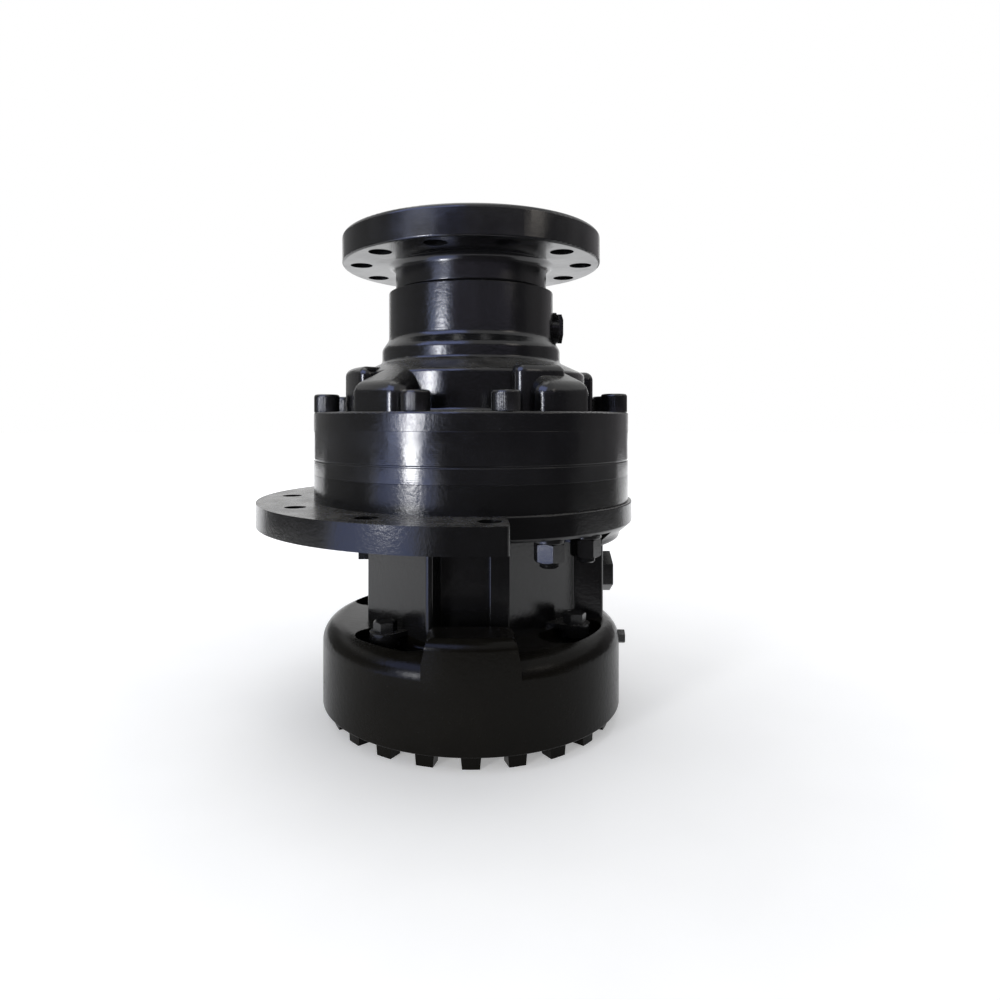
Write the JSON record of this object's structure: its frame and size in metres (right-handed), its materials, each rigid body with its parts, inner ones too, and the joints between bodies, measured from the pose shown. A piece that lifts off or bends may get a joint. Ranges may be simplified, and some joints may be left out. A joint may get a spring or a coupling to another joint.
{
  "type": "hydraulic drive motor",
  "caption": "Radial-piston hydraulic drive motor with flanged output shaft, half-moon chassis flange, valve block and lugged multi-disc parking brake.",
  "frame": {"origin": "where the shaft axis meets the mounting face of the half-moon chassis flange", "axes": "+Z along the shaft axis towards the output flange; -Y is the front; the half-moon flange reaches towards -X"},
  "size_m": [0.272, 0.309, 0.346],
  "materials": {
    "black_paint": "gloss paint over cast iron",
    "painted_bolts": "gloss paint over steel bolts",
    "painted_plugs": "gloss paint over steel plugs",
    "ground_steel": "ground and oiled",
    "phosphated_steel": "dark phosphated",
    "friction_lining": "sintered bronze lining",
    "seal_rubber": "smooth"
  },
  "bodies": {
    "case": {"bleed_screw": "painted_plugs", "brake_bolts": "painted_bolts", "brake_cover": "phosphated_steel", "brake_housing": "black_paint", "brake_port_plug": "painted_plugs", "brake_spring": "ground_steel", "cam_ring": "black_paint", "case_bolts": "painted_bolts", "cover_retaining_ring": "phosphated_steel", "distributor": "ground_steel", "distributor_seals": "seal_rubber", "distributor_spring": "ground_steel", "drain_plug": "painted_plugs", "front_case": "black_paint", "front_case_seal": "seal_rubber", "inner_bearing_cup": "ground_steel", "locating_pin": "ground_steel", "neck_plug": "painted_plugs", "outer_bearing_cup": "ground_steel", "rear_case": "black_paint", "rear_case_seal": "seal_rubber", "rear_studs": "painted_bolts", "separator_discs": "ground_steel", "shaft_seal": "seal_rubber", "spool_cap_left": "painted_plugs", "spool_cap_right": "painted_plugs", "spool_spring": "ground_steel"},
    "rotor": {"output_shaft": "black_paint", "preload_ring": "ground_steel", "shaft_retaining_ring": "ground_steel", "outer_bearing_cone": "ground_steel", "inner_bearing_cone": "ground_steel", "cylinder_block": "ground_steel", "brake_shaft": "ground_steel", "friction_discs": "friction_lining"},
    "outer_cage": {"outer_bearing_cage": "ground_steel", "outer_bearing_rollers": "ground_steel"},
    "inner_cage": {"inner_bearing_cage": "ground_steel", "inner_bearing_rollers": "ground_steel"},
    "brake_piston": {"brake_piston": "ground_steel", "brake_piston_seal": "seal_rubber"},
    "two_speed_spool": {"two_speed_spool": "ground_steel"},
    "piston_1": {"piston_1": "ground_steel", "piston_roller_1": "ground_steel"},
    "piston_2": {"piston_2": "ground_steel", "piston_roller_2": "ground_steel"},
    "piston_3": {"piston_3": "ground_steel", "piston_roller_3": "ground_steel"},
    "piston_4": {"piston_4": "ground_steel", "piston_roller_4": "ground_steel"},
    "piston_5": {"piston_5": "ground_steel", "piston_roller_5": "ground_steel"},
    "piston_6": {"piston_6": "ground_steel", "piston_roller_6": "ground_steel"},
    "piston_7": {"piston_7": "ground_steel", "piston_roller_7": "ground_steel"},
    "piston_8": {"piston_8": "ground_steel", "piston_roller_8": "ground_steel"}
  },
  "joints": [
    {"name": "shaft_turn", "type": "hinge", "parent": "case", "child": "rotor", "pos_m": [0, 0, 0], "axis": [0, 0, 1], "continuous": true},
    {"name": "outer_cage_turn", "type": "hinge", "parent": "case", "child": "outer_cage", "pos_m": [0, 0, 0], "axis": [0, 0, 1], "continuous": true},
    {"name": "inner_cage_turn", "type": "hinge", "parent": "case", "child": "inner_cage", "pos_m": [0, 0, 0], "axis": [0, 0, 1], "continuous": true},
    {"name": "piston_1_stroke", "type": "slide", "parent": "rotor", "child": "piston_1", "axis": [0.9914, 0.1305, 0], "range_m": [0, 0.002]},
    {"name": "piston_2_stroke", "type": "slide", "parent": "rotor", "child": "piston_2", "axis": [0.6088, 0.7934, 0], "range_m": [0, 0.002]},
    {"name": "piston_3_stroke", "type": "slide", "parent": "rotor", "child": "piston_3", "axis": [-0.1305, 0.9914, 0], "range_m": [0, 0.0105]},
    {"name": "piston_4_stroke", "type": "slide", "parent": "rotor", "child": "piston_4", "axis": [-0.7934, 0.6088, 0], "range_m": [0, 0.0105]},
    {"name": "piston_5_stroke", "type": "slide", "parent": "rotor", "child": "piston_5", "axis": [-0.9914, -0.1305, 0], "range_m": [0, 0.002]},
    {"name": "piston_6_stroke", "type": "slide", "parent": "rotor", "child": "piston_6", "axis": [-0.6088, -0.7934, 0], "range_m": [0, 0.002]},
    {"name": "piston_7_stroke", "type": "slide", "parent": "rotor", "child": "piston_7", "axis": [0.1305, -0.9914, 0], "range_m": [0, 0.0105]},
    {"name": "piston_8_stroke", "type": "slide", "parent": "rotor", "child": "piston_8", "axis": [0.7934, -0.6088, 0], "range_m": [0, 0.0105]},
    {"name": "brake_release", "type": "slide", "parent": "case", "child": "brake_piston", "axis": [0, 0, -1], "range_m": [0, 0.002], "stiffness_N_per_m": 40000, "springref_m": -0.0005, "deforming": ["brake_spring"]},
    {"name": "speed_shift", "type": "slide", "parent": "case", "child": "two_speed_spool", "axis": [1, 0, 0], "range_m": [0, 0.008], "stiffness_N_per_m": 1500, "springref_m": -0.002, "deforming": ["spool_spring"]}
  ],
  "couplings": [
    {"joint": "outer_cage_turn", "follows": "shaft_turn", "ratio": 0.4377},
    {"joint": "inner_cage_turn", "follows": "shaft_turn", "ratio": 0.4283},
    {"joint": "piston_5_stroke", "follows": "piston_1_stroke", "ratio": 1},
    {"joint": "piston_6_stroke", "follows": "piston_2_stroke", "ratio": 1},
    {"joint": "piston_7_stroke", "follows": "piston_3_stroke", "ratio": 1},
    {"joint": "piston_8_stroke", "follows": "piston_4_stroke", "ratio": 1}
  ]
}
